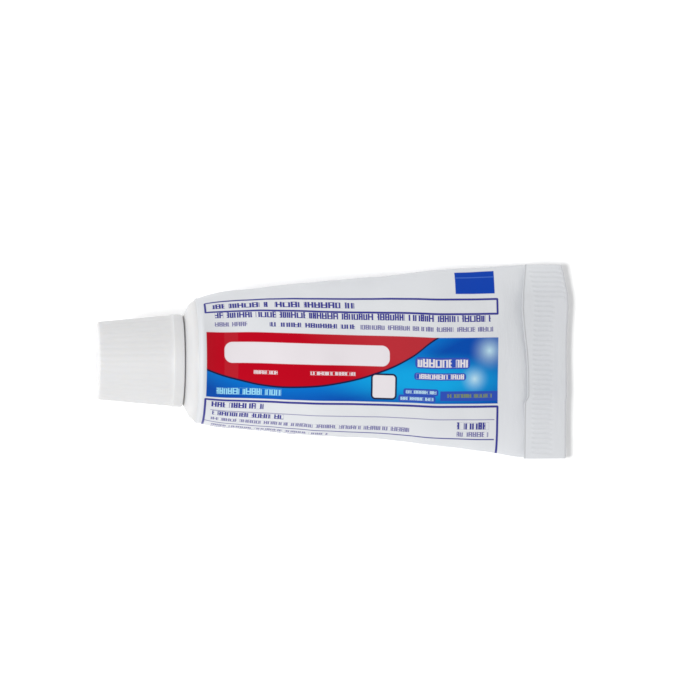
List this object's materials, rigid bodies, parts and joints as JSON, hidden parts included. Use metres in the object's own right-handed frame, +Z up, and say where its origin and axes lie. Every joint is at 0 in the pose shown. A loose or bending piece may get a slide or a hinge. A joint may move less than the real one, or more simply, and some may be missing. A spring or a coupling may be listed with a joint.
{
  "type": "toothpaste tube",
  "caption": "Small laminate toothpaste tube, lying flat, with a folded sealed tail, a threaded nozzle under a foil seal, and a fluted screw cap that comes off.",
  "frame": {"origin": "centre of the bounding box, on the surface that the tube lies on", "axes": "+X from the cap to the folded tail, +Z up through the printed front, +Y across the tube"},
  "size_m": [0.096, 0.0398, 0.025],
  "materials": {
    "sleeve": "satin white laminate, printed on the front",
    "head_plastic": "smooth white moulding",
    "foil": "bright foil",
    "cap_plastic": "white moulding with fine flutes"
  },
  "bodies": {
    "tube": {"tube_body": "sleeve", "shoulder_nozzle": "head_plastic", "foil_seal": "foil"},
    "cap": {"screw_cap": "cap_plastic"}
  },
  "joints": [
    {"name": "cap_off", "type": "slide", "parent": "tube", "child": "cap", "axis": [-0.9936, 0, 0.1132], "range_m": [0, 0.022]}
  ]
}
